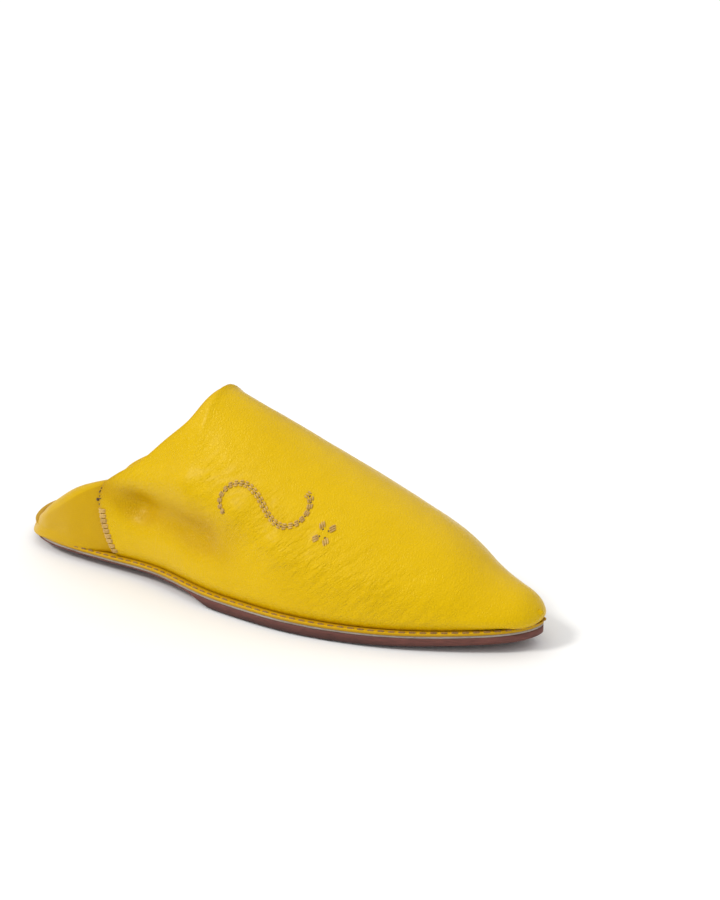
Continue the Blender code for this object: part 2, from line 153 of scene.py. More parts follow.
def side_line(side, inset, turns):
    """Plan of the sole's edge on one side (1 outer, -1 inner), moved inwards by inset, heel to toe."""
    widths = column(OUTLINE, "width") * column(OUTLINE, "outer" if side > 0 else "inner")
    turned = turn_of(column(OUTLINE, "along"))
    x = side * spline(turned, widths, turns)
    y = y_at((1 - np.cos(turns)) / 2)
    nudge = 1e-4
    dx = side * (spline(turned, widths, turns + nudge) - spline(turned, widths, turns - nudge))
    dy = SOLE_LENGTH * np.sin(turns) * nudge
    length = np.maximum(np.hypot(dx, dy), 1e-12)
    inward = np.stack([-side * dy / length, side * dx / length], -1)
    inward[turns <= 0] = (0, 1)
    inward[turns >= math.pi] = (0, -1)
    return np.stack([x, y], -1) + inward * np.reshape(inset, (-1, 1)), inward


def edge_loop(inset, height, stations=SOLE_STATIONS):
    """Closed loop of points round the sole's edge: up the outer side, back down the inner one."""
    turns = np.linspace(0, math.pi, stations + 1)
    outer, _ = side_line(1, np.broadcast_to(inset, turns.shape), turns)
    inner, _ = side_line(-1, np.broadcast_to(inset, turns.shape), turns)
    loop = np.concatenate([outer, inner[-2:0:-1]])
    height = np.broadcast_to(height, turns.shape)
    up = np.concatenate([height, height[-2:0:-1]]) + lift(loop[:, 1])
    return np.column_stack([loop, up])


def mesh_from(bm):
    mesh = bpy.data.meshes.new("mesh")
    bm.to_mesh(mesh)
    bm.free()
    return mesh


def stacked_loops(loops, capped):
    """Mesh over loops of equal length, from the lowest up. Capped ones are closed by strips across, and the
    others run on from the last loop to the first."""
    bm = bmesh.new()
    rings = [[bm.verts.new(point) for point in loop] for loop in loops]
    count = len(loops[0])
    pairs = list(zip(rings, rings[1:])) + ([] if capped else [(rings[-1], rings[0])])
    for low, high in pairs:
        for i in range(count):
            k = (i + 1) % count
            bm.faces.new((low[i], low[k], high[k], high[i]))
    if capped:
        for ring, flip in ((rings[0], True), (rings[-1], False)):
            for i in range(count // 2):
                face = [ring[i], ring[i + 1], ring[(count - i - 1) % count], ring[(count - i) % count]]
                face = [v for j, v in enumerate(face) if v not in face[:j]]
                bm.faces.new(face[::-1] if flip else face)
    bm.normal_update()
    return mesh_from(bm)


def add_object(name, data):
    made = bpy.data.objects.new(name, data)
    bpy.context.scene.collection.objects.link(made)
    return made


def dress(name, mesh, finish, slot, *nodes):
    """The finished piece: its mesh with its finish, riding on the slipper in place of the plain solids."""
    mesh.name = name
    mesh.materials.append(finish)
    mesh.shade_smooth()
    mesh.set_sharp_from_angle(angle=SHARP_FROM)
    piece = add_object(name, mesh)
    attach(piece, "root")
    if nodes:
        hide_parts(*nodes)


def new_finish(name, roughness, **sockets):
    """A material with its shader, and a helper that adds a node with its settings and inputs."""
    finish = bpy.data.materials.new(name)
    finish.use_nodes = True
    tree = finish.node_tree
    shader = tree.nodes["Principled BSDF"]
    shader.inputs["Roughness"].default_value = roughness
    for socket, value in sockets.items():
        shader.inputs[socket.replace("_", " ")].default_value = value

    def node(kind, settings=None, **inputs):
        made = tree.nodes.new("ShaderNode" + kind)
        for key, value in (settings or {}).items():
            setattr(made, key, value)
        for key, value in inputs.items():
            numbered = key[0] == "i" and key[1:].isdigit()
            socket = made.inputs[int(key[1:]) if numbered else key.replace("_", " ")]
            if isinstance(value, bpy.types.NodeSocket):
                tree.links.new(value, socket)
            else:
                socket.default_value = value
        return made

    def wear(**links):
        for key, value in links.items():
            tree.links.new(value, shader.inputs[key.replace("_", " ")])

    return finish, node, wear


def tones(node, factor, *stops):
    """Colours along a factor. Each stop is (place, linear colour)."""
    ramp = node("ValToRGB", i0=factor)
    for i, (place, colour) in enumerate(stops):
        stop = ramp.color_ramp.elements[i] if i < 2 else ramp.color_ramp.elements.new(place)
        stop.position, stop.color = place, (*colour, 1.0)
    return ramp.outputs["Color"]


def speckle(node, place, scale, detail, roughness=0.5, distortion=0.0):
    """Noise for fibres, dye and dirt."""
    shape = {"Scale": scale, "Detail": detail, "Roughness": roughness, "Distortion": distortion}
    return node("TexNoise", Vector=place, **shape).outputs["Fac"]


def multiplied(node, colours, others, share=1.0):
    """Colours multiplied by others, a share of the way."""
    blend = {"data_type": "RGBA", "blend_type": "MULTIPLY"}
    return node("Mix", blend, Factor=share, i6=colours, i7=others).outputs[2]


sole_turns = np.linspace(0, math.pi, SOLE_STATIONS + 1)
shares = (1 - np.cos(sole_turns)) / 2
front = ease((shares - PARED_TO) / (ROUNDED_FROM - PARED_TO))
bevel = BACK_EDGE_BEVEL + (FRONT_EDGE_BEVEL - BACK_EDGE_BEVEL) * front
bevel += TOE_BEVEL * ease((shares - 0.72) / 0.22)
reach = bevel * (BACK_EDGE_SLOPE + (FRONT_EDGE_SLOPE - BACK_EDGE_SLOPE) * front)
reach += TOE_UNDERCUT * ease((shares - 0.70) / 0.20)
wander = 0.00016 * np.abs(hand_wobble(shares, 7.0, 0.4, 2.1))
sole_section = (
    (reach + CHANNEL_INSET + CHANNEL_WIDTH, 0.0),
    (reach + CHANNEL_INSET + CHANNEL_WIDTH - CHANNEL_SLANT, CHANNEL_DEPTH),
    (reach + CHANNEL_INSET + CHANNEL_SLANT, CHANNEL_DEPTH),
    (reach + CHANNEL_INSET, 0.0),
    (reach + 0.0002, 0.0),
    (0.66 * reach, 0.28 * bevel),
    (0.35 * reach, 0.60 * bevel),
    (0.12 * reach, 0.86 * bevel),
    (0.0001 + wander, bevel),
    (0.00005 + 0.6 * wander, 0.5 * (bevel + OUTSOLE_THICKNESS)),
    (0.00015, OUTSOLE_THICKNESS + 0.0001),
    (0.0004, OUTSOLE_THICKNESS + 0.0003),
)
sole_leather, node, wear = new_finish("brown_sole_leather", 0.58, Specular_IOR_Level=0.4)
place = node("TexCoord").outputs["Object"]
height = node("SeparateXYZ", i0=place).outputs["Z"]
layers = node("Mapping", Vector=place, Scale=(1.0, 1.0, 7.0)).outputs["Vector"]
fibre = speckle(node, layers, 230.0, 6.0, 0.65)
stain = speckle(node, place, 38.0, 3.0)
# Painted shade: the edge is coloured darker towards the bottom and darkest underneath, where the bevel turns
# down.
edge_tone_and_shade = tones(node, height, (0.0002, (0.030, 0.011, 0.010)), (0.0016, (0.060, 0.022, 0.018)),
                  (0.0030, (0.118, 0.038, 0.032)), (0.0046, (0.165, 0.056, 0.043)))
streaks = tones(node, fibre, (0.30, (0.62, 0.58, 0.56)), (0.70, (1.22, 1.18, 1.14)))
patched = tones(node, stain, (0.30, (0.80, 0.78, 0.78)), (0.75, (1.12, 1.10, 1.08)))
toned = multiplied(node, multiplied(node, edge_tone_and_shade, streaks), patched, 0.8)
rough = node("MapRange", Value=fibre, To_Min=0.48, To_Max=0.74).outputs["Result"]
bump = node("Bump", Strength=0.5, Distance=0.0003, Height=fibre).outputs["Normal"]
wear(Base_Color=toned, Roughness=rough, Normal=bump)
sole_mesh = stacked_loops([edge_loop(inset, height) for inset, height in sole_section], True)
dress("sole_leather_cut", sole_mesh, sole_leather, "sole_leather", "outsole")

# Board. A thin pale sheet of pressed leather board, glued between the outsole and the welt. Its cut edge
# shows as a light grey line, a little uneven from the knife.
MIDSOLE_THICKNESS = 0.0010
MIDSOLE_Z = OUTSOLE_THICKNESS + GAP
BOARD_INSET = 0.00022

knife = BOARD_INSET * (1 + hand_wobble(shares, 31.0, 5.3, 0.7))
board_loops = [
    edge_loop(knife + 0.0005, MIDSOLE_Z),
    edge_loop(knife + 0.0002, MIDSOLE_Z + 0.0001),
    edge_loop(knife, MIDSOLE_Z + 0.7 * MIDSOLE_THICKNESS),
    edge_loop(knife + 0.0002, MIDSOLE_Z + MIDSOLE_THICKNESS),
]
pale_board, node, wear = new_finish("pale_board_edge", 0.82)
place = node("TexCoord").outputs["Object"]
layers = node("Mapping", Vector=place, Scale=(1.0, 1.0, 9.0)).outputs["Vector"]
fibre = speckle(node, layers, 420.0, 5.0, 0.7)
smudge = speckle(node, place, 60.0, 2.0)
greyed = tones(node, fibre, (0.30, (0.27, 0.235, 0.20)), (0.70, (0.47, 0.42, 0.37)))
rubbed = tones(node, smudge, (0.35, (0.80, 0.76, 0.70)), (0.70, (1.10, 1.10, 1.10)))
bump = node("Bump", Strength=0.6, Distance=0.0002, Height=fibre).outputs["Normal"]
wear(Base_Color=multiplied(node, greyed, rubbed), Normal=bump)
dress("board_layer", stacked_loops(board_loops, True), pale_board, "pale_board", "midsole")

# Welt. A narrow strip of the yellow leather laid round the edge of the sole. It is sewn down through board
# and sole with a running stitch of waxed thread, which lies in a shallow furrow.
WELT_THICKNESS = 0.0013
WELT_Z = MIDSOLE_Z + MIDSOLE_THICKNESS + GAP
WELT_TOP = WELT_Z + WELT_THICKNESS
UPPER_WALL, QUARTER_WALL = 0.0016, 0.0016
FOOT_INSET = 0.0032
SEAM_LAP = 0.006
SEAM_FOOT = 0.247
WELT_STITCH, WELT_STITCH_GAP = 0.0033, 0.0012
WELT_THREAD, SOLE_THREAD = 0.00046, 0.00032
STITCH_LINE = 0.25
FURROW_DEPTH = 0.00018
STRAND_SIDES, PLY_RELIEF = 9, 0.14
YELLOW, DEEP_YELLOW = (0.710, 0.455, 0.0006), (0.46, 0.24, 0.001)
WARM_GLINT = (1.0, 0.86, 0.30, 1.0)
WRINKLE_CELLS = ((0, 540, -530), (0, 150, 155), (170, 0, 0))
WELT_STATIONS = 420

STAND = table(
    "along side foot",
    (0.00, -0.30, 0.55),
    (0.05, -0.20, 0.62),
    (0.18, 0.05, 0.75),
    (0.50, 0.35, 1.00),
    (0.80, 0.10, 0.78),
    (0.95, -0.10, 0.58),
    (1.00, -0.25, 0.50),
)


def stand(name, turns):
    """How far inside the sole's edge the upper's widest line, or its foot, runs."""
    return FOOT_INSET * spline(turn_of(column(STAND, "along")), column(STAND, name), turns)


def inside(turns):
    """How far inside the sole's edge the insole starts, clear of the vamp and behind it of the quarter."""
    share = (1 - np.cos(turns)) / 2
    behind = 1 - ease((share - SEAM_FOOT - SEAM_LAP / SOLE_LENGTH - 0.02) / 0.08)
    return stand("foot", turns) + UPPER_WALL + 2 * GAP + (QUARTER_WALL + 2 * GAP) * behind


def yellow_leather(name, grain_size, grain_depth, gloss, base=YELLOW, deep=DEEP_YELLOW):
    """Drum-dyed yellow leather: a faint pebbled grain, fine drawn wrinkles, uneven dye and a soft polish. The
    vertex value called
    shade mixes in the deep colour: painted shade in creases and recesses, and a darker tone where the leather
    is handled. Drawn deepens its wrinkles."""
    finish, node, wear = new_finish(name, gloss, IOR=1.38, Specular_IOR_Level=0.40, Specular_Tint=WARM_GLINT,
                                    Coat_Weight=0.05, Coat_Roughness=0.22, Coat_IOR=1.4)
    place = node("TexCoord").outputs["Object"]
    warp = node("TexNoise", Vector=place, Scale=90.0, Detail=2.0).outputs["Color"]
    shift = {"data_type": "RGBA", "blend_type": "LINEAR_LIGHT"}
    bent = node("Mix", shift, Factor=0.0016, i6=place, i7=warp).outputs[2]
    cell = node("TexVoronoi", {"feature": "DISTANCE_TO_EDGE"}, Vector=bent, Scale=1.0 / grain_size)
    smooth = {"interpolation_type": "SMOOTHSTEP"}
    pebble = node("MapRange", smooth, Value=cell.outputs["Distance"], From_Max=0.30).outputs["Result"]
    fine = speckle(node, place, 1.6 / grain_size, 5.0, 0.6)
    cloud = speckle(node, place, 26.0, 3.0, 0.55)
    mottle = speckle(node, place, 150.0, 4.0, 0.6)
    dots = [node("VectorMath", {"operation": "DOT_PRODUCT"}, i0=place, i1=way) for way in WRINKLE_CELLS]
    across, along, around = (dot.outputs["Value"] for dot in dots)
    lines = node("CombineXYZ", i0=across, i1=along, i2=around).outputs["Vector"]
    wrinkle = speckle(node, lines, 1.0, 3.0, 0.55, 0.25)
    drawn = node("Attribute", {"attribute_name": "drawn"}).outputs["Fac"]
    shade = node("Attribute", {"attribute_name": "shade"}).outputs["Fac"]
    # The deep colour comes in by the shade value: painted shade, and a darker tone where handled.
    dye_and_shade = node("Mix", {"data_type": "RGBA"}, Factor=shade, i6=(*base, 1.0), i7=(*deep, 1.0)).outputs[2]
    uneven = tones(node, cloud, (0.30, (0.965, 0.950, 0.85)), (0.70, (1.015, 1.015, 1.10)))
    specks = tones(node, mottle, (0.30, (0.965, 0.955, 0.95)), (0.65, (1.01, 1.01, 1.02)))
    furrows = tones(node, pebble, (0.0, (0.92, 0.89, 0.80)), (0.45, (1.0, 1.0, 1.0)))
    toned = multiplied(node, dye_and_shade, uneven)
    toned = multiplied(node, toned, specks, 0.6)
    toned = multiplied(node, toned, furrows, 0.35)
    rough = node("MapRange", Value=mottle, To_Min=gloss - 0.07, To_Max=gloss + 0.10).outputs["Result"]
    depth = node("MapRange", Value=drawn, To_Min=0.30, To_Max=4.2).outputs["Result"]
    relief = node("Math", {"operation": "MULTIPLY"}, i0=wrinkle, i1=depth).outputs["Value"]
    weighted = {"operation": "MULTIPLY_ADD"}
    for pattern, weight in ((fine, 0.40), (pebble, 0.42)):
        relief = node("Math", weighted, i0=pattern, i1=weight, i2=relief).outputs["Value"]
    bump = node("Bump", Strength=0.85, Distance=grain_depth, Height=relief).outputs["Normal"]
    wear(Base_Color=toned, Roughness=rough, Normal=bump)
    return finish


def even_steps(loop, pitch):
    """The point at each distance along a closed loop, and where even steps of about one pitch start on it."""
    ends = np.vstack([loop, loop[:1]])
    run = np.concatenate([[0], np.cumsum(np.linalg.norm(np.diff(ends, axis=0), axis=1))])
    count = int(round(run[-1] / pitch))
    starts = np.arange(count) * run[-1] / count
    return lambda along: np.array([np.interp(along % run[-1], run, ends[:, k]) for k in range(3)]), starts


def add_strand(bm, path, up, radius, plies=2, twist=2.2, flat=1.0, blunt=5):
    """A short twisted thread along a path, squeezed by flat along up, the way out of the leather."""
    path = np.asarray(path, float)
    ups = np.broadcast_to(np.asarray(up, float), path.shape)
    count = len(path)
    tangent = np.gradient(path, axis=0)
    tangent /= np.linalg.norm(tangent, axis=1, keepdims=True)
    side = np.cross(tangent, ups)
    side /= np.linalg.norm(side, axis=1, keepdims=True)
    over = np.cross(side, tangent)
    rings = []
    for i in range(count):
        t = i / (count - 1)
        full = math.sqrt(max(1 - abs(2 * t - 1) ** blunt, 0.02))
        ring = []
        for k in range(STRAND_SIDES):
            angle = 2 * math.pi * k / STRAND_SIDES
            lobed = radius * full * (1 + PLY_RELIEF * math.cos(plies * (angle - 2 * math.pi * twist * t)))
            point = path[i] + lobed * (math.cos(angle) * side[i] + flat * math.sin(angle) * over[i])
            ring.append(bm.verts.new(point))
        rings.append(ring)
    for low, high in zip(rings, rings[1:]):
        for k in range(STRAND_SIDES):
            j = (k + 1) % STRAND_SIDES
            bm.faces.new((low[k], high[k], high[j], low[j]))
    bm.faces.new(rings[0])
    bm.faces.new(rings[-1][::-1])


def finished_mesh(bm):
    bmesh.ops.recalc_face_normals(bm, faces=bm.faces)
    return mesh_from(bm)


def waxed_thread(name, colour, dark):
    """Waxed linen thread: fibres along the twist, darker between the plies."""
    finish, node, wear = new_finish(name, 0.55, Sheen_Weight=0.25, Sheen_Roughness=0.4)
    place = node("TexCoord").outputs["Object"]
    fibre = speckle(node, place, 2600.0, 3.0, 0.7)
    grime = speckle(node, place, 170.0, 2.0)
    spun = tones(node, fibre, (0.32, dark), (0.62, colour))
    soiled = tones(node, grime, (0.35, (0.72, 0.66, 0.60)), (0.65, (1.06, 1.05, 1.03)))
    bump = node("Bump", Strength=0.7, Distance=0.0001, Height=fibre).outputs["Normal"]
    wear(Base_Color=multiplied(node, spun, soiled, 0.8), Normal=bump)
    return finish


welt_turns = np.linspace(0, math.pi, WELT_STATIONS + 1)
furrow = STITCH_LINE * stand("foot", welt_turns)
stitch_line = edge_loop(furrow, WELT_TOP, WELT_STATIONS)
welt_point, welt_starts = even_steps(stitch_line, WELT_STITCH + WELT_STITCH_GAP)
inner_edge = inside(welt_turns) - GAP
swing = 0.00018 * np.abs(hand_wobble(welt_turns, 26.0, 1.1, 4.2))
# Round the strip's section, from its inner edge underneath: inset, height and how much painted shade darkens
# the leather, most underneath, in the stitch furrow and in the corner against the upper, fading up the outer
# edge.
welt_section = (
    (inner_edge, WELT_Z + 0.0001, 1.0),
    (0.0004 + swing, WELT_Z - 0.0003, 0.9),
    (0.0001 + swing, WELT_Z - 0.0001, 0.7),
    (0.00002 + swing, WELT_TOP - 0.0005, 0.40),
    (0.00012 + swing, WELT_TOP - 0.0002, 0.15),
    (0.00030 + swing, WELT_TOP, 0.05),
    (np.maximum(furrow - 0.00030, 0.00034), WELT_TOP + 0.00002, 0.0),
    (np.maximum(furrow, 0.00040), WELT_TOP - FURROW_DEPTH, 0.35),
    (furrow + 0.0005, WELT_TOP, 0.0),
    (inner_edge, WELT_TOP, 0.9),
)
welt_loops = [edge_loop(inset, height, WELT_STATIONS) for inset, height, _ in welt_section]
welt_mesh = stacked_loops(welt_loops, False)
# Painted shade of the welt, from the table above, kept in the vertex value shade.
welt_shade_layer = welt_mesh.attributes.new("shade", "FLOAT", "POINT")
welt_painted_shade = np.repeat([dark for _, _, dark in welt_section], 2 * WELT_STATIONS)
welt_shade_layer.data.foreach_set("value", welt_painted_shade.astype(np.float32))
welt_colours = (0.70, 0.42, 0.006), (0.36, 0.18, 0.004)
welt_leather = yellow_leather("yellow_welt_leather", 0.0011, 0.00016, 0.46, *welt_colours)
dress("welt_strip", welt_mesh, welt_leather, "yellow_leather", "welt")

thread_finish = waxed_thread("brown_welt_thread", (0.42, 0.21, 0.025), (0.14, 0.060, 0.010))
bm = bmesh.new()
for n, start in enumerate(welt_starts):
    slack = 0.00012 * noise.noise((n * 1.7, 0.3, 0.9))
    path = np.array([welt_point(start + s) for s in np.linspace(0, WELT_STITCH, 9)])
    path[:, 2] += 0.00004 + slack - 0.00030 * np.abs(np.linspace(-1, 1, 9)) ** 4
    add_strand(bm, path, (0, 0, 1), WELT_THREAD, twist=2.0)
dress("welt_thread", finished_mesh(bm), thread_finish, "sewing_thread")

channel_inset = np.interp(welt_turns, sole_turns, reach) + CHANNEL_INSET + 0.5 * CHANNEL_WIDTH
channel = edge_loop(channel_inset, 0.5 * CHANNEL_DEPTH, WELT_STATIONS)
channel_point, channel_starts = even_steps(channel, WELT_STITCH + WELT_STITCH_GAP)
bm = bmesh.new()
for start in channel_starts:
    path = np.array([channel_point(start + s) for s in np.linspace(0, WELT_STITCH, 7)])
    path[:, 2] += 0.00025 * np.abs(np.linspace(-1, 1, 7)) ** 3
    add_strand(bm, path, (0, 0, -1), SOLE_THREAD, twist=1.6)
dress("sole_thread", finished_mesh(bm), thread_finish, "sewing_thread")

# Insole. A soft yellow lining leather, glued down inside the welt. It is pressed a little hollow under the
# heel and the ball, and its edge is turned down where it meets the wall.
INSOLE_THICKNESS = 0.0025
INSOLE_TOP = WELT_Z + INSOLE_THICKNESS
HEEL_HOLLOW, BALL_HOLLOW = 0.0007, 0.0006
TURNED_DOWN = 0.0006
INSOLE_COLUMNS = 44

inset = inside(sole_turns) + 0.7 * GAP
outer_edge, _ = side_line(1, inset, sole_turns)
inner_edge, _ = side_line(-1, inset, sole_turns)
across = np.sin(np.linspace(-math.pi / 2, math.pi / 2, INSOLE_COLUMNS + 1))
top = []
for (x0, y0), (x1, y1) in zip(outer_edge, inner_edge):
    mix = (1 + across) / 2
    x, y = x0 + (x1 - x0) * mix, y0 + (y1 - y0) * mix
    share = share_at(y)
    hollow = HEEL_HOLLOW * bell(share, 0.12, 0.09) + BALL_HOLLOW * bell(share, 0.62, 0.13)
    rounded = TURNED_DOWN * np.abs(across) ** 14
    ripple = np.array([noise.noise((a * 42, b * 42, 0.5)) for a, b in zip(x, y)]) * 0.00012
    z = INSOLE_TOP + lift(y) - 0.00012 - hollow * (1 - np.abs(across) ** 3) - rounded + ripple
    top.append(np.column_stack([x, y, z]))
bm = bmesh.new()
upside = [[bm.verts.new(p) for p in row] for row in top]
downside = [[bm.verts.new((p[0], p[1], WELT_Z + lift(p[1]) + 0.0001)) for p in row] for row in top]
for i in range(SOLE_STATIONS):
    for j in range(INSOLE_COLUMNS):
        bm.faces.new((upside[i][j], upside[i + 1][j], upside[i + 1][j + 1], upside[i][j + 1]))
        bm.faces.new((downside[i][j], downside[i][j + 1], downside[i + 1][j + 1], downside[i + 1][j]))
    for j in (0, INSOLE_COLUMNS):
        bm.faces.new((upside[i][j], downside[i][j], downside[i + 1][j], upside[i + 1][j]))
for i in (0, SOLE_STATIONS):
    for j in range(INSOLE_COLUMNS):
        bm.faces.new((upside[i][j], upside[i][j + 1], downside[i][j + 1], downside[i][j]))
bmesh.ops.remove_doubles(bm, verts=bm.verts, dist=2e-6)
bmesh.ops.dissolve_degenerate(bm, edges=bm.edges, dist=1e-7)
insole_leather = yellow_leather("yellow_lining_leather", 0.0009, 0.00010, 0.50, base=(0.66, 0.42, 0.012))
dress("insole_lining", finished_mesh(bm), insole_leather, "yellow_leather", "insole")

# Vamp. The one piece of yellow leather that makes the upper from the toe to the side seams. It was wetted and
# drawn over the last, turned in on to the welt and sewn, so it bulges over its foot, and it creases where the
# foot bends.
INSTEP_HEIGHT = 0.0825
SKIVED_WALL, SKIVE = 0.0009, 0.010
TUCK_HEIGHT = 0.006
EDGE_ROUNDING = 0.42
WRINKLE_DEPTH, SWELL_DEPTH, DARKEST_CREASE = 0.00025, 0.00030, 0.0022
LASTING_PITCH, LASTING_DEPTH = 0.0044, 0.00016
NOSE_FULLNESS, TIP_FULLNESS, TIP_DROOP = 0.0014, 0.0012, 0.0008
UPPER_Z = WELT_TOP + GAP
VAMP_STATIONS, SEAM_ROWS, COLLAR_ROWS = 262, 30, 52

RIDGE = table(
    "along height",
    (0.413, 1.000),
    (0.500, 0.875),
    (0.600, 0.733),
    (0.700, 0.602),
    (0.800, 0.463),
    (0.870, 0.343),
    (0.930, 0.203),
    (0.972, 0.112),
    (1.000, 0.000),
)
ARCH = table(
    "way height instep toe",
    (0.00, 0.000, 1.000, 1.000),
    (0.12, 0.090, 1.000, 1.000),
    (0.25, 0.210, 0.990, 0.985),
    (0.38, 0.345, 0.950, 0.940),
    (0.50, 0.480, 0.875, 0.870),
    (0.62, 0.620, 0.755, 0.770),
    (0.74, 0.765, 0.595, 0.630),
    (0.86, 0.895, 0.390, 0.435),
    (0.94, 0.972, 0.200, 0.235),
    (1.00, 1.000, 0.000, 0.000),
)
SEAM = table(
    "height along",
    (0.000, SEAM_FOOT),
    (0.130, 0.229),
    (0.250, 0.219),
    (0.340, 0.216),
    (0.422, 0.221),
)
COLLAR = table(
    "height along",
    (0.422, 0.221),
    (0.503, 0.255),
    (0.587, 0.296),
    (0.697, 0.333),
    (0.799, 0.367),
    (0.867, 0.384),
    (0.940, 0.396),
    (0.985, 0.406),
    (1.000, 0.413),
)

# Soft troughs (negative) and ridges of the leather; the troughs are also darkened with painted shade. Columns:
# side of the slipper, start and end as share of the length and share of the instep height, half width and depth
# in metres.
CREASES = table(
    "side along height to_along to_height width depth",
    (1, 0.222, 0.390, 0.300, 0.322, 0.0070, -0.0032),
    (1, 0.290, 0.328, 0.440, 0.285, 0.0095, -0.0044),
    (1, 0.420, 0.290, 0.500, 0.262, 0.0090, -0.0014),
    (1, 0.275, 0.475, 0.400, 0.520, 0.0095, 0.0022),
    (1, 0.400, 0.550, 0.520, 0.490, 0.0080, 0.0011),
    (1, 0.510, 0.470, 0.610, 0.330, 0.0075, 0.0013),
    (1, 0.600, 0.330, 0.760, 0.235, 0.0075, 0.0010),
    (1, 0.760, 0.235, 0.880, 0.170, 0.0065, 0.0006),
    (1, 0.440, 0.400, 0.520, 0.370, 0.0055, -0.0006),
    (1, 0.500, 0.600, 0.600, 0.470, 0.0035, 0.0003),
    (1, 0.545, 0.560, 0.640, 0.420, 0.0028, -0.0003),
    (-1, 0.240, 0.360, 0.360, 0.300, 0.0050, -0.0012),
    (-1, 0.340, 0.305, 0.470, 0.300, 0.0065, -0.0019),
    (-1, 0.290, 0.480, 0.450, 0.560, 0.0085, 0.0010),
    (-1, 0.480, 0.500, 0.620, 0.330, 0.0075, 0.0011),
    (-1, 0.610, 0.330, 0.800, 0.210, 0.0070, 0.0008),
    (-1, 0.450, 0.420, 0.540, 0.380, 0.0050, -0.0005),
)


def widest_line(side):
    """Plan of the upper's widest line on one side, the inward direction, and how far its foot is drawn in."""
    turns = np.linspace(0, math.pi, FINE)
    line, inward = side_line(side, stand("side", turns), turns)
    return line, inward, stand("foot", turns) - stand("side", turns)


def ridge_height(y, tip):
    """Height of the last over the welt. Behind the collar it goes on level, where nothing is cut from it."""
    start = y_at(RIDGE[0].along)
    part = np.clip((y - start) / (tip - start), 0, 1)
    knots = (column(RIDGE, "along") - RIDGE[0].along) / (1 - RIDGE[0].along)
    return INSTEP_HEIGHT * spline(turn_of(knots / 2), column(RIDGE, "height"), turn_of(part / 2))


def arch(way, toe_share):
    """Shares of height and half width of a cross-section, on the way up to the ridge (1) and down again (2)."""
    ways = np.concatenate([column(ARCH, "way"), 2 - column(ARCH, "way")[-2::-1]])
    halves = [column(ARCH, name) for name in ("height", "instep", "toe")]
    height = spline(ways, np.concatenate([halves[0], halves[0][-2::-1]]), way)
    instep, toe = (spline(ways, np.concatenate([h, -h[-2::-1]]), way) for h in halves[1:])
    return np.clip(height, 0, None), instep + (toe - instep) * toe_share


def way_up(height):
    """The way up a cross-section at which it has this share of its height."""
    ways = np.linspace(0, 1, FINE)
    return np.interp(height, arch(ways, 0.0)[0], ways)


def swell(over_welt, height=TUCK_HEIGHT):
    """1 at the upper's foot and 0 where its side has swelled to its full width."""
    return np.clip(1 - over_welt / height, 0, 1) ** 2


def edge_along(heights):
    """Share of the length at which the vamp's back edge has each height: the seam below, the collar above."""
    seam = spline(column(SEAM, "height"), column(SEAM, "along"), heights)
    steps, fine = np.linspace(0, 1, len(COLLAR)), np.linspace(0, 1, FINE)
    up = spline(steps, column(COLLAR, "height"), fine)
    along = spline(steps, column(COLLAR, "along"), fine)
    return np.where(heights <= SEAM[-1].height, seam, np.interp(heights, up, along))


def last_points(side, y, way, tip):
    """Points of the last's surface on one side, at places along it and ways up its cross-sections."""
    line, inward, drawn = widest_line(side)
    other, _, _ = widest_line(-side)
    edge, far_edge = np.interp(y, line[:, 1], line[:, 0]), np.interp(y, other[:, 1], other[:, 0])
    middle, half = (edge + far_edge) / 2, np.abs(edge - far_edge) / 2
    ridge = ridge_height(y, tip)
    toe_share = ease((share_at(y) - RIDGE[0].along) / (1 - RIDGE[0].along))
    height, width = arch(way, toe_share)
    over_welt = height * ridge
    draw = np.interp(y, line[:, 1], drawn) * swell(over_welt)
    x = middle + side * half * width + np.interp(y, line[:, 1], inward[:, 0]) * draw
    along = y + np.interp(y, line[:, 1], inward[:, 1]) * draw
    return np.stack([x, along, UPPER_Z + lift(along) + over_welt], -1)


def unit_steps(grid, axis):
    """Direction of the sheet at each point along one way of the grid, from the steps before and after it."""
    steps = np.diff(grid, axis=axis)
    steps /= np.maximum(np.linalg.norm(steps, axis=-1, keepdims=True), 1e-9)
    first, last = steps.take([0], axis), steps.take([-1], axis)
    return np.concatenate([first, steps], axis) + np.concatenate([steps, last], axis)


def sheet_normals(grain, tip=None):
    normal = np.cross(unit_steps(grain, 0), unit_steps(grain, 1))
    normal[height_over_welt(grain) < 1e-6, 2] = 0
    if tip is not None:
        normal[-1] = tip
    return normal / np.maximum(np.linalg.norm(normal, axis=-1, keepdims=True), 1e-12)


def height_over_welt(grain):
    return grain[:, :, 2] - lift(grain[:, :, 1]) - UPPER_Z


def flesh_side(grain, wall, tip=None):
    """The inner sheet, a wall's thickness inside the grain. Nothing of it dips below its foot."""
    flesh = grain - sheet_normals(grain, tip) * np.asarray(wall)[..., None]
    lowest = UPPER_Z + lift(flesh[:, :, 1]) + 0.3 * height_over_welt(grain)
    flesh[:, :, 2] = np.maximum(flesh[:, :, 2], lowest)
    return flesh


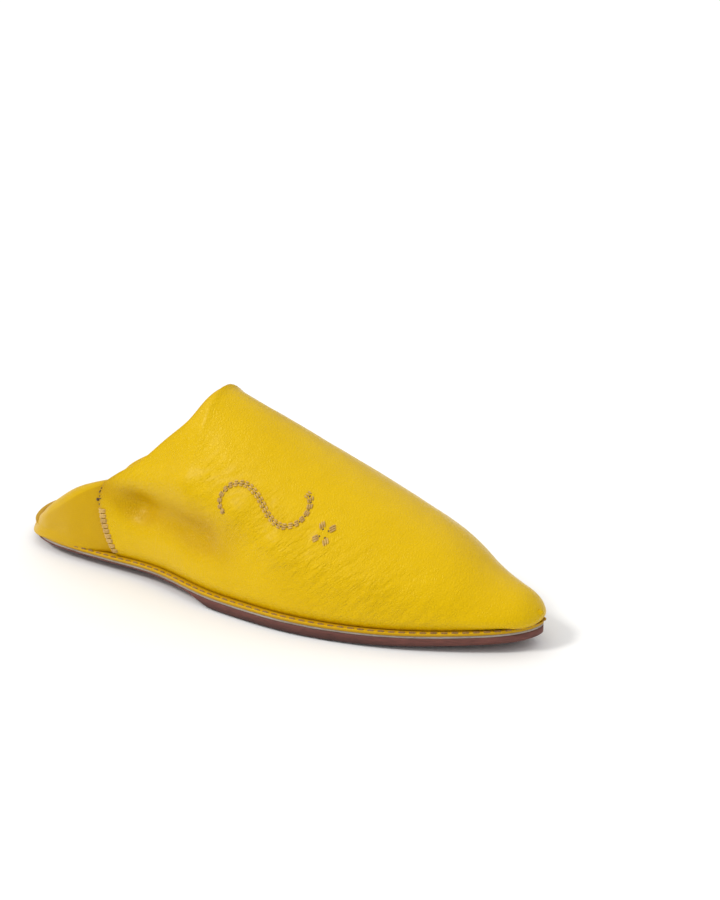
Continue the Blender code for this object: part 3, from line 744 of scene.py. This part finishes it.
def leather_piece(grain, flesh, values, rounded):
    """Closed leather piece between two sheets. Rounded names the borders whose cut edge is rubbed round, and
    values are the vertex values of the grain side, which the flesh side shares."""
    count, width = grain.shape[:2]
    bm = bmesh.new()
    layers = {key: bm.verts.layers.float.new(key) for key in values}
    sheets = [[[bm.verts.new(p) for p in row] for row in sheet] for sheet in (grain, flesh)]
    for sheet in sheets:
        for i, row in enumerate(sheet):
            for j, vert in enumerate(row):
                for key, layer in layers.items():
                    vert[layer] = values[key][i, j]
    for sheet, flip in ((sheets[0], False), (sheets[1], True)):
        for i in range(count - 1):
            for j in range(width - 1):
                face = (sheet[i][j], sheet[i + 1][j], sheet[i + 1][j + 1], sheet[i][j + 1])
                bm.faces.new(face[::-1] if flip else face)
    around = [(i, 0) for i in range(count - 1)]
    around += [(count - 1, j) for j in range(width - 1)]
    around += [(i, width - 1) for i in range(count - 1, 0, -1)]
    around += [(0, j) for j in range(width - 1, 0, -1)]
    middles = {}
    for i, j in around:
        g, f = grain[i, j], flesh[i, j]
        out = np.zeros(3)
        if "back" in rounded and i == 0:
            out = g - grain[1, j]
        elif "loose" in rounded and j == width - 1:
            out = g - grain[i, width - 2]
        length = np.linalg.norm(out)
        out = out / length * EDGE_ROUNDING * np.linalg.norm(g - f) if length > 1e-9 else out
        middles[i, j] = bm.verts.new((g + f) / 2 + out)
        for key, layer in layers.items():
            middles[i, j][layer] = values[key][i, j]
    for a, b in zip(around, around[1:] + around[:1]):
        (i, j), (k, m) = a, b
        bm.faces.new((sheets[0][k][m], sheets[0][i][j], middles[a], middles[b]))
        bm.faces.new((middles[b], middles[a], sheets[1][i][j], sheets[1][k][m]))
    bmesh.ops.remove_doubles(bm, verts=bm.verts, dist=1e-6)
    bmesh.ops.dissolve_degenerate(bm, edges=bm.edges, dist=1e-8)
    return mesh_from(bm)


def crease_relief(grain, side_of):
    """How far each point of the vamp stands out of the plain last, and how much painted shade darkens its
    troughs.
    """
    share, height = share_at(grain[:, :, 1]), height_over_welt(grain) / INSTEP_HEIGHT
    relief, dark = np.zeros(share.shape), np.zeros(share.shape)
    scale = np.array([SOLE_LENGTH, INSTEP_HEIGHT * 1.15])
    here = np.stack([share, height], -1) * scale
    for crease in CREASES:
        start = np.array([crease.along, crease.height]) * scale
        run = np.array([crease.to_along, crease.to_height]) * scale - start
        t = np.clip(((here - start) @ run) / (run @ run), 0, 1)
        away = np.linalg.norm(here - start - t[..., None] * run, axis=-1)
        body = bell(away, 0, crease.width) * (side_of == crease.side)
        relief += crease.depth * body
        # Troughs get painted shade, full at the depth DARKEST_CREASE.
        if crease.depth < 0:
            dark += body * min(1, -crease.depth / DARKEST_CREASE)
    return relief, np.clip(dark, 0, 1)


def noise_on(grain, *cells):
    """Noise over a sheet, with this many cells to the metre in x, y and z."""
    return np.array([noise.noise(place) for place in (grain * cells).reshape(-1, 3)]).reshape(grain.shape[:2])


def wrinkle_relief(grain):
    """Relief of the fine drawn wrinkles, in noise stretched along them, and of the broad swells of the hide.
    Also how far each point is drawn into wrinkles, from 0 to 1."""
    share, height = share_at(grain[:, :, 1]), height_over_welt(grain) / INSTEP_HEIGHT
    x, y, z = np.moveaxis(grain, -1, 0)
    slope, over = 0.70 * y + 0.71 * z, 0.71 * y - 0.70 * z
    stretched = np.stack([330.0 * over, 120.0 * slope, 120.0 * x], -1).reshape(-1, 3)
    fine = np.reshape([noise.fractal(place, 0.8, 2.2, 3) for place in stretched], share.shape)
    broad = noise_on(grain, 34.0, 34.0, 34.0) + 0.5 * noise_on(grain, 80.0, 80.0, 80.0)
    band = bell(height + 1.15 * share, 1.06, 0.17) * ease((share - 0.36) / 0.12) * ease((0.93 - share) / 0.2)
    foot = np.exp(-height / 0.10) * ease((share - 0.30) / 0.1) * ease((0.97 - share) / 0.06)
    relief = WRINKLE_DEPTH * fine * (0.12 + 1.7 * band + 0.3 * foot) + SWELL_DEPTH * broad
    return relief, np.clip(band + 0.25 * foot, 0, 1)


tip = widest_line(1)[0][-1, 1]
seam_height = SEAM[-1].height
over_seam = seam_height + (1 - seam_height) * np.sin(np.linspace(0, math.pi / 2, COLLAR_ROWS + 1))[1:]
at_foot = [0.0, 0.004, 0.010, 0.018, 0.028, 0.040]
heights = np.concatenate([at_foot, np.linspace(0.054, seam_height, SEAM_ROWS), over_seam])
start, start_way = y_at(edge_along(heights)), way_up(heights)
end_way = np.linspace(0, 1, len(heights))
grain, walls = [], []
for u in np.sin(np.linspace(0, math.pi / 2, VAMP_STATIONS + 1)):
    y = start + (tip - start) * u
    way = start_way + (end_way - start_way) * u
    outer, inner = (last_points(side, y, way, tip) for side in (1, -1))
    grain.append(np.concatenate([outer, inner[-2::-1]]))
    wall = SKIVED_WALL + (UPPER_WALL - SKIVED_WALL) * ease((y - start) / SKIVE)
    walls.append(np.concatenate([wall, wall[-2::-1]]))
grain, walls = np.array(grain), np.array(walls)
side_of = np.ones(grain.shape[:2])
side_of[:, len(heights):] = -1
share, over = share_at(grain[:, :, 1]), height_over_welt(grain)
behind = np.linalg.norm(grain - grain[:1], axis=-1)
hold = ease(over / 0.005) * ease((0.985 - share) / 0.05) * (0.12 + 0.88 * ease(behind / 0.024))
creased, dark = crease_relief(grain, side_of)
lasting = np.sin((share * SOLE_LENGTH) / LASTING_PITCH * 2 * math.pi + 2.5 * np.sin(share * 40))
lasting *= np.clip(over / 0.0015, 0, 1) * np.exp(-over / 0.0045)
lasting *= ease((share - 0.30) / 0.12) * ease((0.9 - share) / 0.2)
point = 0.6 * ease((share - 0.988) / 0.010)
wrinkled, drawn = wrinkle_relief(grain)
relief = (creased + wrinkled) * hold + LASTING_DEPTH * lasting
relief += NOSE_FULLNESS * ease((share - 0.89) / 0.07) * np.maximum(np.clip(over / 0.0025, 0, 1), point)
relief += TIP_FULLNESS * ease((share - 0.945) / 0.035) * np.maximum(np.clip(over / 0.0020, 0, 1), point)
grain = grain + sheet_normals(grain, (0, 1, 0)) * relief[..., None]
flesh = flesh_side(grain, walls, (0, 1, 0))
droop = TIP_DROOP * ease((share - 0.955) / 0.03) * ease((0.999 - share) / 0.008)
grain[..., 2] -= droop * bell(over, 0.0014, 0.0010) * ease(over / 0.0004)
# Painted shade along the foot of the vamp, where it meets the welt.
vamp_foot_shade = np.exp(-over / 0.0005) * 0.9
brim = np.exp(-behind / 0.0012) * 0.35
collar = bell(share, 0.30, 0.07) * bell(over / INSTEP_HEIGHT, 0.50, 0.10) * (side_of > 0)
# Painted shade: darker in the troughs of the creases and along the foot over the welt, and darker along the
# back edge.
shade = np.clip(0.50 * dark + vamp_foot_shade + brim, 0, 1)
drawn = np.clip(drawn + 0.8 * collar, 0, 1) * ease(over / 0.004)
vamp_mesh = leather_piece(grain, flesh, {"shade": shade, "drawn": drawn}, ("back",))
vamp_leather = yellow_leather("yellow_vamp_leather", 0.0012, 0.00027, 0.29)
dress("vamp", vamp_mesh, vamp_leather, "yellow_leather", "upper")

# Back quarter. A second piece of the same leather round the heel. It was made to stand up and is trodden
# down: it is folded over in a soft roll and lies on the insole, smoother and more rubbed than the vamp.
BACK_LEAN = 0.3
FOLD_RADIUS, SEAM_FOLD_RADIUS = 0.0092, 0.0024
FLAP_BULGE, HEEL_FLAP_BULGE, FLAP_TUCK, FLAP_NARROWING = 0.0033, 0.0018, 0.0036, 0.11
LIP_JUT, HEEL_LIP_JUT = 0.0012, 0.0010
LIP_DROOP, HEEL_LIP_DROOP = 0.0026, 0.0020
QUARTER_STATIONS, WALL_ROWS, ROLL_ROWS, FLAP_ROWS = 112, 26, 16, 34

FOLD = table(
    "back outer_crest inner_crest roll edge_across edge_along edge_height",
    (0.00, 1.010, 1.010, 0.00, 0.340, 0.222, 0.860),
    (0.10, 0.890, 0.865, 0.30, 0.328, 0.212, 0.640),
    (0.20, 0.768, 0.730, 0.65, 0.310, 0.202, 0.440),
    (0.30, 0.640, 0.575, 0.90, 0.285, 0.194, 0.280),
    (0.45, 0.445, 0.270, 1.00, 0.235, 0.186, 0.130),
    (0.60, 0.270, 0.110, 1.00, 0.180, 0.180, 0.084),
    (0.80, 0.092, 0.050, 1.00, 0.095, 0.176, 0.078),
    (1.00, 0.045, 0.045, 1.00, 0.000, 0.175, 0.076),
)

fine_backs = np.linspace(0, 1, FINE)
fine_turns = np.linspace(0, math.pi, 2000)
edge_tables = {side: side_line(side, 0.0, fine_turns) for side in (1, -1)}
stand_tables = [stand(name, fine_turns) for name in ("side", "foot")]
last_rises, last_widths = arch(np.linspace(0, 1, FINE), 0.0)
seam_rises = np.linspace(0, SEAM[-1].height, FINE)
seam_places = edge_along(seam_rises)
half_at_seam = abs(np.interp(y_at(SEAM[-1].along), widest_line(1)[0][:, 1], widest_line(1)[0][:, 0]))
fold_tables = {name: spline(column(FOLD, "back"), column(FOLD, name), fine_backs) for name in FOLD[0]._fields}


def fold_at(name, back):
    return np.interp(back, fine_backs, fold_tables[name])


def quarter_profile(side, back, lap):
    """The quarter's grain side at one station: up the wall, over the fold and down the flap. Back is 0 at the
    side seam, 1 at the back of the heel and -lap at the end that lies under the vamp."""
    tall = SEAM[-1].height * INSTEP_HEIGHT
    shown = np.clip(back, 0, 1)
    crest = tall * fold_at("outer_crest" if side > 0 else "inner_crest", shown)
    grown = np.clip(fold_at("roll", shown), 0, 1)
    radius = min(SEAM_FOLD_RADIUS + (FOLD_RADIUS - SEAM_FOLD_RADIUS) * grown, 0.6 * crest)
    vamp_wall = SKIVED_WALL + (UPPER_WALL - SKIVED_WALL) * ease(-back / lap * SEAM_LAP / SKIVE)
    under = (vamp_wall + 2 * GAP) * (1 - ease(back / 0.25))
    wall_top = crest - radius
    rises = wall_top * np.linspace(0, 1, WALL_ROWS + 1) ** 1.4
    line, inward = edge_tables[side]

    def on_wall(height, inward_by):
        share_up = height / INSTEP_HEIGHT
        turn = turn_of(np.interp(share_up, seam_rises, seam_places)) * (1 - back)
        side_inset, foot_inset = (np.interp(turn, fine_turns, insets) for insets in stand_tables)
        lean = half_at_seam * (1 - np.interp(share_up, last_rises, last_widths))
        lean += BACK_LEAN * height * ease(back)
        draw = (foot_inset - side_inset) * swell(height, min(TUCK_HEIGHT, wall_top))
        away = side_inset + under + lean + draw + inward_by
        x, y = (np.interp(turn, fine_turns, line[:, k] + inward[:, k] * away) for k in (0, 1))
        return np.array([x, y, UPPER_Z + lift(y) + height])

    points = [on_wall(height, 0.0) for height in rises]
    for angle in np.linspace(0, math.pi / 2, ROLL_ROWS + 1)[1:]:
        point = on_wall(wall_top, radius * (1 - math.cos(angle)))
        point[2] += radius * math.sin(angle)
        points.append(point)
    top = points[-1]
    control = on_wall(wall_top, radius + FLAP_BULGE + HEEL_FLAP_BULGE * shown)
    control[2] = top[2]
    across = side * HEEL_WIDTH * fold_at("edge_across", shown)
    along = y_at(fold_at("edge_along", shown)) + SEAM_LAP * max(0, -back / lap)
    edge = np.array([across, along, UPPER_Z + tall * fold_at("edge_height", shown)])
    for t in np.linspace(0, 1, FLAP_ROWS + 1)[1:]:
        points.append((1 - t) ** 2 * top + 2 * t * (1 - t) * control + t * t * edge)
    return points


lap = turn_of(SEAM_FOOT + SEAM_LAP / SOLE_LENGTH) / turn_of(SEAM_FOOT) - 1
backs = np.concatenate([np.linspace(-lap, 0, 7)[:-1], np.linspace(0, 1, QUARTER_STATIONS)])
outer = [quarter_profile(1, back, lap) for back in backs]
inner = [quarter_profile(-1, back, lap) for back in backs]
grain = np.array(inner + outer[-2::-1])
swells = 0.00035 * noise_on(grain, 46.0, 46.0, 60.0) + 0.00008 * noise_on(grain, 130.0, 130.0, 130.0)
station = np.concatenate([backs, backs[-2::-1]])[:, None]
row = np.arange(grain.shape[1])[None, :]
drawn = ease(height_over_welt(grain) / 0.004) * ease((station + 0.02) / 0.12)
free = ease((grain.shape[1] - 1 - row) / 10.0)
press = -0.0007 * bell(station, 0.33, 0.09) * bell(row, 15.0, 5.5)
relief = (swells + press) * drawn * free
plain = height_over_welt(grain)
outwards = sheet_normals(grain)
outwards[..., 2] = 0
tucked = ease((station - 0.40) / 0.3) * ease((row - 14) / 28.0) * free
grain[..., 1] += FLAP_TUCK * tucked
grain[..., 0] *= 1 - FLAP_NARROWING * tucked
lip = ease((station + 0.02) / 0.20) * bell(plain, 0.0016, 0.0016) * ease(plain / 0.0004)
jut = (LIP_JUT + HEEL_LIP_JUT * ease((station - 0.3) / 0.3)) * lip * (1 - ease((row - 10) / 20.0))
droop = (LIP_DROOP + HEEL_LIP_DROOP * ease((station - 0.35) / 0.35)) * lip * (1 - ease((row - 12) / 34.0))
grain = grain + sheet_normals(grain) * relief[..., None] + outwards * jut[..., None]
flesh = flesh_side(grain, np.full(grain.shape[:2], QUARTER_WALL))
grain[..., 2] -= droop
# Painted shade along the foot of the wall, where it meets the welt; the rest is the quarter's darker tone at
# the seam and where handled.
quarter_foot_shade = np.exp(-np.clip(plain, 0, None) / 0.0005) * (row < WALL_ROWS)
under_seam = np.exp(-np.abs(station) / 0.03) * 0.35
handled = 0.28 * ease((0.75 - station) / 0.5) * (row < WALL_ROWS + 4)
shade = np.clip(quarter_foot_shade + under_seam + handled + 0.1, 0, 1)
quarter_mesh = leather_piece(grain, flesh, {"shade": shade}, ("loose",))
quarter_leather = yellow_leather("yellow_quarter_leather", 0.0012, 0.00010, 0.40, base=(0.66, 0.415, 0.0008))
dress("quarter", quarter_mesh, quarter_leather, "yellow_leather", "back_quarter")

# Side seams. The vamp's pared edge lies over the quarter and is whipped down by hand with thick tan thread,
# from the foot up; a thinner dark thread runs on to the top, and a small knot of it sits on the quarter.
WHIP_STITCHES, WHIP_WIDTH = 9, 0.0052
WHIP_FROM, WHIP_TO, THIN_FROM, THIN_TO = 0.035, 0.262, 0.285, 0.400
WHIP_STRAND, WHIP_STRAND_PITCH, THIN_STRAND = 0.0004032, 0.00062, 0.00022
KNOT_AT, KNOT_SIZE, KNOT_STRAND = (0.208, 0.315), 0.0007, 0.00028


def tree_of(*meshes):
    """What the threads lie on, for looking up places on the leather."""
    points, faces = [], []
    for mesh in meshes:
        base = len(points)
        points += [v.co.copy() for v in mesh.vertices]
        faces += [[base + i for i in polygon.vertices] for polygon in mesh.polygons]
    return BVHTree.FromPolygons(points, faces)


def on_leather(tree, side, y, z, proud=0.0):
    """Place on the outside of the leather at this length and height, from the side, and the way out there."""
    hit, normal, _, _ = tree.ray_cast(Vector((side * 0.2, y, z)), Vector((-side, 0, 0)))
    if hit is None:
        hit, normal, _, _ = tree.find_nearest(Vector((side * 0.05, y, z)))
    if normal.x * side < 0:
        normal = -normal
    return np.array(hit + normal * proud), np.array(normal)


def thread_over(bm, tree, side, ends, radius, arc, steps=11, **how):
    """A thread that goes over the leather from end to end, given as (y, z), standing up in an arc between."""
    path, ups = [], []
    for t in np.linspace(0, 1, steps):
        y, z = (a + (b - a) * t for a, b in zip(*ends))
        proud = arc * (1 - abs(2 * t - 1) ** 2.6) - 0.25 * radius
        point, up = on_leather(tree, side, y, z, proud)
        path.append(point)
        ups.append(up)
    ups = np.mean(ups, axis=0)
    add_strand(bm, np.array(path), ups / np.linalg.norm(ups), radius, **how)


leather_tree = tree_of(vamp_mesh, quarter_mesh)
tan_thread = waxed_thread("tan_hand_thread", (0.76, 0.50, 0.13), (0.44, 0.25, 0.05))
dark_thread = waxed_thread("dark_seam_thread", (0.16, 0.075, 0.018), (0.05, 0.022, 0.006))
whips, thin = bmesh.new(), bmesh.new()
for side in (1, -1):
    for n in range(WHIP_STITCHES):
        up = WHIP_FROM + (WHIP_TO - WHIP_FROM) * n / (WHIP_STITCHES - 1)
        z = UPPER_Z + up * INSTEP_HEIGHT
        y = y_at(edge_along(np.array([up]))[0])
        z += lift(y)
        jitter = 0.0003 * noise.noise((n * 2.3, side * 4.0, 0.2))
        back, front = y - 0.40 * WHIP_WIDTH + jitter, y + 0.60 * WHIP_WIDTH + jitter
        for strand in (-1, 0, 1):
            rise = strand * WHIP_STRAND_PITCH
            ends = ((back, z + rise - 0.0002), (front, z + rise + 0.0004))
            thread_over(whips, leather_tree, side, ends, WHIP_STRAND, 0.00055, flat=0.8, twist=1.5)
    above = np.linspace(THIN_FROM, THIN_TO, 6)
    for n, (low, high) in enumerate(zip(above, above[1:])):
        y0, y1 = (y_at(edge_along(np.array([h]))[0]) - 0.0006 - 0.0011 * (n % 2) for h in (low, high))
        ends = ((y0, UPPER_Z + low * INSTEP_HEIGHT), (y1 + 0.0006, UPPER_Z + high * INSTEP_HEIGHT - 0.0004))
        thread_over(thin, leather_tree, side, ends, THIN_STRAND, 0.00022, twist=2.0)
    knot_y, knot_z = y_at(KNOT_AT[0]), UPPER_Z + KNOT_AT[1] * INSTEP_HEIGHT
    for turn in np.linspace(0, math.pi, 4)[:-1]:
        dy, dz = KNOT_SIZE * math.cos(turn), KNOT_SIZE * math.sin(turn)
        ends = ((knot_y - dy, knot_z - dz), (knot_y + dy, knot_z + dz))
        thread_over(thin, leather_tree, side, ends, KNOT_STRAND, 0.00045)
    ends = ((knot_y, knot_z), (knot_y + 0.0032, knot_z + 0.0016))
    thread_over(thin, leather_tree, side, ends, THIN_STRAND, 0.0002)
dress("side_seam_whipping", finished_mesh(whips), tan_thread, "sewing_thread")
dress("side_seam_thin_thread", finished_mesh(thin), dark_thread, "sewing_thread")

# Ornament. A hand-sewn double scroll with a four-stitch diamond beside it, on the outer side of the vamp.
# Each block is three strands of the tan thread laid side by side, with a small dark disc where it starts as
# painted shade in the needle hole.
SCROLL_AT, SCROLL_TILT = (0.556, 0.530), -0.72
SCROLL_LENGTH, SCROLL_CURL, SCROLL_STEPS = 0.066, 3.7, 400
BLOCK, BLOCK_GAP, BLOCK_WIDTH = 0.0021, 0.0003, 0.0024
DIAMOND_AT, DIAMOND_REACH, DIAMOND_BLOCK = (0.668, 0.440), 0.0034, 0.0030
DIAMOND_HEADINGS = (0.6, 2.17, 3.74, 5.31)


def block_of_strands(bm, hole_shades, tree, side, centre, heading, length):
    """One satin block: three strands along the line of sewing, and a dark disc of painted shade for the needle
    hole where it starts.
    """
    along = np.array([math.cos(heading), math.sin(heading)])
    beside = np.array([-along[1], along[0]])
    for k in (-1, 0, 1):
        middle = np.array(centre) + beside * k * BLOCK_WIDTH / 3
        reach = length / 2 * (1.0 if k == 0 else 0.9)
        ends = (middle - along * reach, middle + along * reach)
        thread_over(bm, tree, side, ends, BLOCK_WIDTH / 6.2, 0.00042, steps=7, twist=0.9, flat=0.85, blunt=4)
    # The needle hole is painted shade: a small dark disc with the dark thread finish.
    hole = centre - along * length * 0.56
    ends = (hole - beside * 0.0005, hole + beside * 0.0005)
    thread_over(hole_shades, tree, side, ends, 0.00028, 0.00006, steps=5, flat=0.5)


vamp_tree = tree_of(vamp_mesh)
blocks, hole_shades = bmesh.new(), bmesh.new()
turning = SCROLL_TILT + SCROLL_CURL * np.linspace(-1, 1, SCROLL_STEPS) ** 2
steps = np.column_stack([np.cos(turning), np.sin(turning)]) * SCROLL_LENGTH / SCROLL_STEPS
line = np.cumsum(steps, axis=0)
line -= line[SCROLL_STEPS // 2]
centre = np.array([y_at(SCROLL_AT[0]), UPPER_Z + SCROLL_AT[1] * INSTEP_HEIGHT])
count = int(SCROLL_LENGTH / (BLOCK + BLOCK_GAP))
for n in range(count):
    i = int((n + 0.5) / count * SCROLL_STEPS)
    block_of_strands(blocks, hole_shades, vamp_tree, 1, centre + line[i], turning[i], BLOCK)
diamond = np.array([y_at(DIAMOND_AT[0]), UPPER_Z + DIAMOND_AT[1] * INSTEP_HEIGHT])
for heading in DIAMOND_HEADINGS:
    offset = DIAMOND_REACH * np.array([math.cos(heading), math.sin(heading)])
    block_of_strands(blocks, hole_shades, vamp_tree, 1, diamond + offset, heading, DIAMOND_BLOCK)
dress("ornament_thread", finished_mesh(blocks), tan_thread, "sewing_thread")
dress("ornament_needle_hole_shades", finished_mesh(hole_shades), dark_thread, "sewing_thread")

# Studio. A plain pale floor that runs out of view, soft light from a white room that is brighter overhead, a
# wide key light from behind on the outer side, and the picture's camera, 68 mm, in front on the outer side.
FLOOR_REACH, FLOOR_Z = 12.0, -0.0002
DIMMEST, BRIGHTEST = 0.30, 1.16
KEY_FROM = (0.550, -0.420, 0.720)
CAMERA_AT, LOOKED_AT = (0.6001, 0.5015, 0.3336), (0.0, 0.1480, 0.0718)

floor_finish, node, wear = new_finish("pale_floor_paint", 0.75)
place = node("TexCoord").outputs["Object"]
cloud = speckle(node, place, 3.0, 2.0)
wear(Base_Color=tones(node, cloud, (0.3, (0.93, 0.93, 0.93)), (0.7, (0.955, 0.955, 0.955))))
floor_mesh = bpy.data.meshes.new("pale_floor")
corners = [(FLOOR_REACH * x, FLOOR_REACH * y, FLOOR_Z) for x, y in ((-1, -1), (1, -1), (1, 1), (-1, 1))]
floor_mesh.from_pydata(corners, [], [(0, 1, 2, 3)])
floor_mesh.materials.append(floor_finish)
floor = add_object("pale_floor", floor_mesh)

world = bpy.data.worlds.new("white_room")
bpy.context.scene.world = world
world.use_nodes = True
sky = world.node_tree.nodes["Background"]
sky.inputs["Color"].default_value = (1.0, 1.0, 1.0, 1.0)
way = world.node_tree.nodes.new("ShaderNodeTexCoord")
parts = world.node_tree.nodes.new("ShaderNodeSeparateXYZ")
glow = world.node_tree.nodes.new("ShaderNodeMapRange")
glow.inputs["To Min"].default_value = DIMMEST
glow.inputs["To Max"].default_value = BRIGHTEST
world.node_tree.links.new(way.outputs["Generated"], parts.inputs[0])
world.node_tree.links.new(parts.outputs["Z"], glow.inputs["Value"])
world.node_tree.links.new(glow.outputs["Result"], sky.inputs["Strength"])
bpy.context.scene.view_settings.view_transform = "Standard"

key = bpy.data.lights.new("wide_key", "SUN")
key.energy, key.angle, key.color = 1.34, math.radians(12), (1.0, 0.985, 0.95)
key_lamp = add_object("wide_key", key)
key_lamp.rotation_euler = Vector(KEY_FROM).to_track_quat("Z", "Y").to_euler()

camera_data = bpy.data.cameras.new("picture_camera")
camera_data.lens = 68.0
camera_data.sensor_fit = "VERTICAL"
camera_data.sensor_height = 36.0
camera_data.clip_start = 0.01
camera = add_object("picture_camera", camera_data)
camera.location = CAMERA_AT
camera.rotation_euler = (Vector(LOOKED_AT) - camera.location).to_track_quat("-Z", "Y").to_euler()
bpy.context.scene.camera = camera
